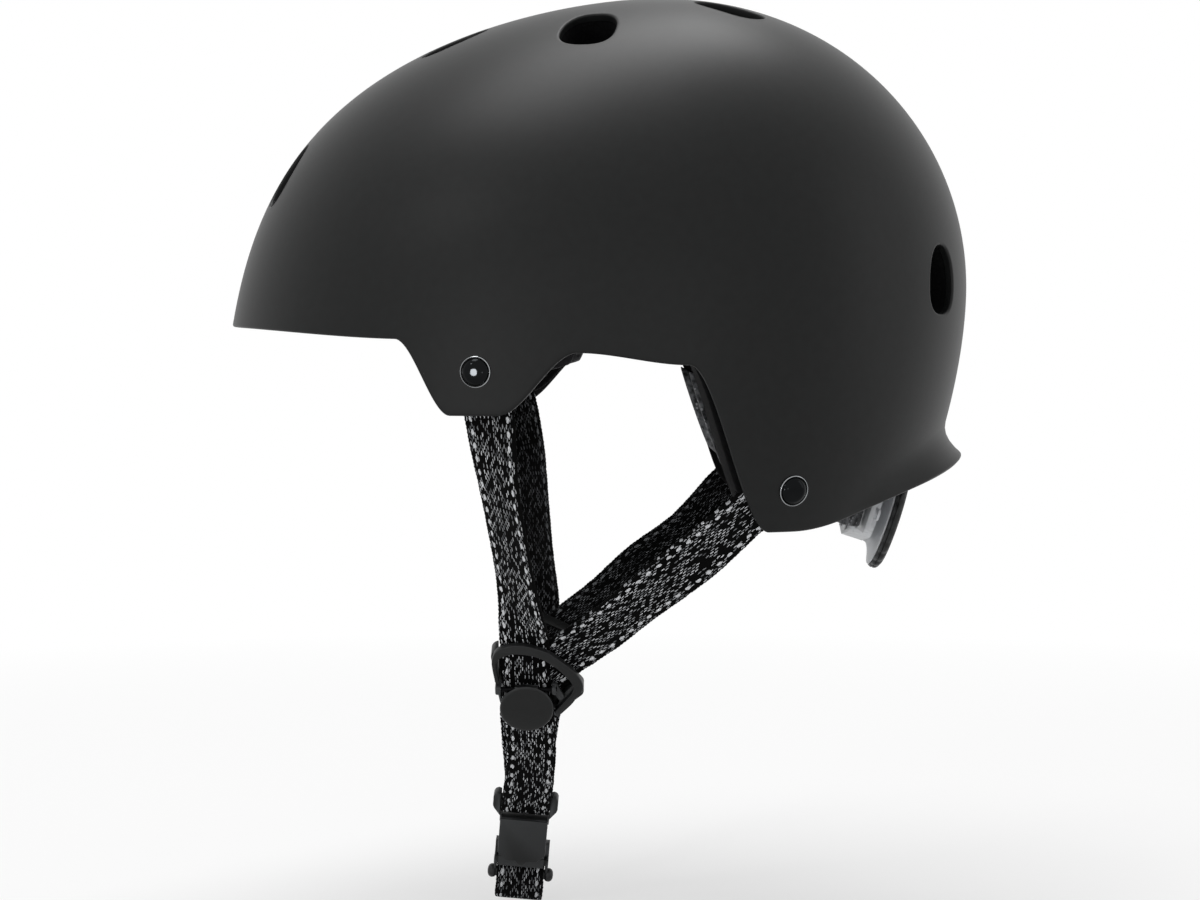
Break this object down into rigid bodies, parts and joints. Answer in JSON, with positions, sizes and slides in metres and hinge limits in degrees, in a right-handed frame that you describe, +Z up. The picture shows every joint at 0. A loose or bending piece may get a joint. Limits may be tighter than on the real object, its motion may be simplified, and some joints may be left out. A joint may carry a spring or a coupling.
{
  "type": "bicycle helmet",
  "caption": "Skate-style bicycle helmet with a hard round shell, rounded vents, foam liner, riveted side straps with dividers, a chin buckle and a rear fit dial.",
  "frame": {"origin": "middle of the oval head opening, in the plane of the front brim", "axes": "+Z up through the crown, -X to the front brim, -Y to the wearer's left"},
  "size_m": [0.2691, 0.214, 0.332],
  "materials": {
    "shell": "matte black injection-moulded shell",
    "foam": "black expanded foam, matte",
    "pad": "dark grey brushed fabric over soft foam",
    "arm_pad": "mottled dark grey felt",
    "chrome": "polished",
    "steel": "plain steel",
    "webbing": "black webbing with pale reflective flecks",
    "black_plastic": "matte black moulding",
    "grey_plastic": "silver grey moulding"
  },
  "bodies": {
    "helmet": {"outer_shell": "shell", "foam_liner": "foam", "crown_pad": "pad", "brow_pad": "pad", "left_temple_pad": "pad", "right_temple_pad": "pad", "shell_rivets": "chrome", "rivet_washers": "steel", "left_strap": "webbing", "right_front_strap": "webbing", "right_rear_strap": "webbing", "left_divider_frame": "black_plastic", "left_divider_pin": "steel", "right_divider_frame": "black_plastic", "right_divider_pin": "steel", "buckle_upper": "black_plastic", "buckle_cover": "black_plastic", "upper_magnets": "steel", "fit_housing": "grey_plastic", "housing_cover": "grey_plastic", "cover_screws": "steel", "left_arm_pad": "arm_pad", "right_arm_pad": "arm_pad", "stem_pins": "black_plastic"},
    "left_lever": {"left_divider_lever": "black_plastic"},
    "right_lever": {"right_divider_lever": "black_plastic"},
    "buckle_lower": {"buckle_lower": "black_plastic", "lower_magnets": "steel", "buckle_loop": "webbing"},
    "fit_dial": {"dial_cap": "black_plastic", "dial_dish": "grey_plastic", "dial_screw": "steel", "pinion": "grey_plastic"},
    "left_strip": {"left_toothed_strip": "grey_plastic"},
    "right_strip": {"right_toothed_strip": "grey_plastic"}
  },
  "joints": [
    {"name": "left_lever_hinge", "type": "hinge", "parent": "helmet", "child": "left_lever", "pos_m": [-0.025, -0.05337, -0.12771], "axis": [-1, 0, 0], "range_deg": [0, 100]},
    {"name": "right_lever_hinge", "type": "hinge", "parent": "helmet", "child": "right_lever", "pos_m": [-0.025, 0.05337, -0.12771], "axis": [1, 0, 0], "range_deg": [0, 100]},
    {"name": "buckle_slide", "type": "slide", "parent": "helmet", "child": "buckle_lower", "axis": [-0.9962, 0, 0.0872], "range_m": [0, 0.019]},
    {"name": "dial_turn", "type": "hinge", "parent": "helmet", "child": "fit_dial", "pos_m": [0.1075, 0, -0.07], "axis": [-0.9511, 0, 0.309], "range_deg": [0, 171.88]},
    {"name": "left_strip_slide", "type": "slide", "parent": "helmet", "child": "left_strip", "axis": [0, 1, 0], "range_m": [0, 0.012]},
    {"name": "right_strip_slide", "type": "slide", "parent": "helmet", "child": "right_strip", "axis": [0, -1, 0], "range_m": [0, 0.012]}
  ],
  "couplings": [
    {"joint": "left_strip_slide", "follows": "dial_turn", "m_per_rad": 0.004},
    {"joint": "right_strip_slide", "follows": "dial_turn", "m_per_rad": 0.004}
  ]
}
